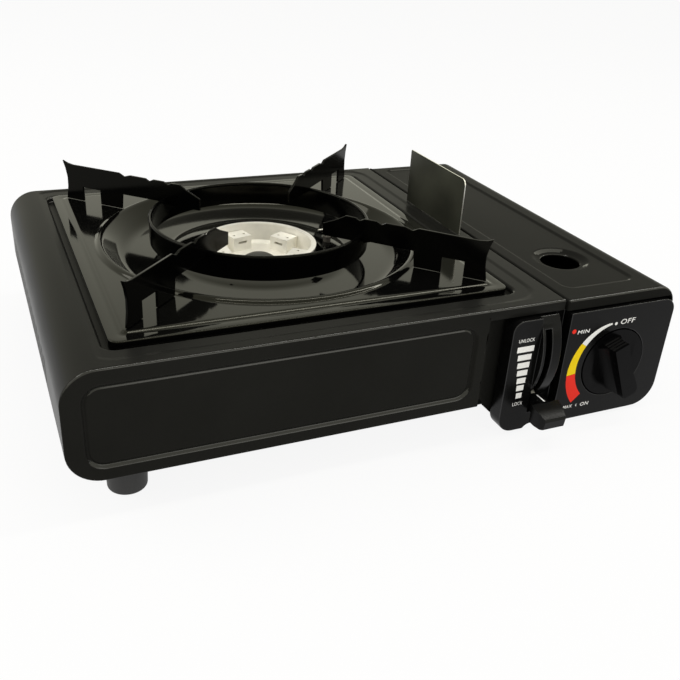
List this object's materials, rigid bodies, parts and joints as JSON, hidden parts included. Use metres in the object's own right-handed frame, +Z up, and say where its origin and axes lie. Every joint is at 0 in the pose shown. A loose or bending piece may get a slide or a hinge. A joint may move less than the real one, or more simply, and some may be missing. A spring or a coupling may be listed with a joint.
{
  "type": "portable butane cassette stove",
  "caption": "Black butane cassette stove with lift-out drip tray and pot trivet, hinged cartridge lid, turning knob, lock lever and heat shield.",
  "frame": {"origin": "bottom centre of the bounding box, on the surface the feet stand on", "axes": "+X to the cook's right, +Y to the back, +Z up"},
  "size_m": [0.345, 0.2798, 0.1168],
  "materials": {
    "casing_paint": "satin",
    "tray_enamel": "gloss",
    "black_plastic": "satin",
    "zinc_steel": "satin",
    "zinc_casting": "satin",
    "brass": "satin",
    "burner_alloy": "satin",
    "burner_dark": "satin",
    "igniter_plastic": "satin",
    "ceramic": "gloss",
    "lead_rubber": "satin",
    "black_rubber": "matte",
    "shield_steel": "satin"
  },
  "bodies": {
    "casing": {"body_shell": "casing_paint", "base_pan": "casing_paint", "bay_partition": "zinc_steel", "hinge_pin": "zinc_steel", "control_panel": "black_plastic", "igniter_body": "igniter_plastic", "regulator_body": "zinc_casting", "regulator_cover": "zinc_steel", "regulator_screws": "zinc_steel", "cartridge_collar": "zinc_casting", "inlet_seal": "black_rubber", "regulator_bracket": "zinc_steel", "gas_pipe": "burner_alloy", "pipe_nuts": "brass", "gas_jet": "brass", "mixing_tube": "burner_alloy", "air_shutter": "zinc_steel", "burner_base": "burner_alloy", "burner_bowl": "burner_alloy", "burner_cap": "burner_dark", "burner_bracket": "zinc_steel", "burner_screws": "zinc_steel", "electrode": "ceramic", "electrode_tip": "zinc_steel", "electrode_clip": "zinc_steel", "ignition_lead": "lead_rubber", "heat_transfer_strip": "burner_alloy", "lever_bearing": "zinc_steel", "slide_guides": "zinc_steel", "cartridge_cradle": "zinc_steel", "foot_left_front": "black_rubber", "foot_left_back": "black_rubber", "foot_right_front": "black_rubber", "foot_right_back": "black_rubber", "foot_screws": "zinc_steel", "panel_screws": "zinc_steel", "base_screws": "zinc_steel"},
    "lid": {"cartridge_lid": "casing_paint"},
    "knob": {"control_knob": "black_plastic", "valve_spindle": "brass", "igniter_cam": "zinc_steel"},
    "plunger": {"igniter_plunger": "zinc_steel"},
    "lever": {"lock_lever": "zinc_steel", "lever_paddle": "black_plastic", "lever_shaft": "zinc_steel", "drive_arm": "zinc_steel"},
    "slide": {"cartridge_slide": "zinc_steel"},
    "tray": {"drip_tray": "tray_enamel"},
    "trivet": {"trivet_ring": "tray_enamel", "trivet_arm_left_front": "tray_enamel", "trivet_arm_right_front": "tray_enamel", "trivet_arm_left_back": "tray_enamel", "trivet_arm_right_back": "tray_enamel"},
    "shield": {"heat_shield": "shield_steel"}
  },
  "joints": [
    {"name": "lid_hinge", "type": "hinge", "parent": "casing", "child": "lid", "pos_m": [0.134, 0.13485, 0.0752], "axis": [-1, 0, 0], "range_deg": [0, 95]},
    {"name": "knob_turn", "type": "hinge", "parent": "casing", "child": "knob", "pos_m": [0.1345, -0.11555, 0.0365], "axis": [0, -1, 0], "range_deg": [0, 135]},
    {"name": "plunger_push", "type": "slide", "parent": "casing", "child": "plunger", "axis": [0, 0, 1], "range_m": [0, 0.0041]},
    {"name": "lever_swing", "type": "hinge", "parent": "casing", "child": "lever", "pos_m": [0.09, -0.07995, 0.0482], "axis": [-1, 0, 0], "range_deg": [0, 54]},
    {"name": "cartridge_push", "type": "slide", "parent": "casing", "child": "slide", "axis": [0, 1, 0], "range_m": [0, 0.0128]},
    {"name": "tray_lift", "type": "slide", "parent": "casing", "child": "tray", "axis": [0, 0, 1], "range_m": [0, 0.06]},
    {"name": "trivet_lift", "type": "slide", "parent": "tray", "child": "trivet", "axis": [0, 0, 1], "range_m": [0, 0.05]},
    {"name": "shield_lift", "type": "slide", "parent": "casing", "child": "shield", "axis": [0, 0, 1], "range_m": [0, 0.06]}
  ],
  "couplings": [
    {"joint": "plunger_push", "follows": "knob_turn", "m_per_rad": 0.0016976},
    {"joint": "cartridge_push", "follows": "lever_swing", "m_per_rad": 0.013488}
  ]
}
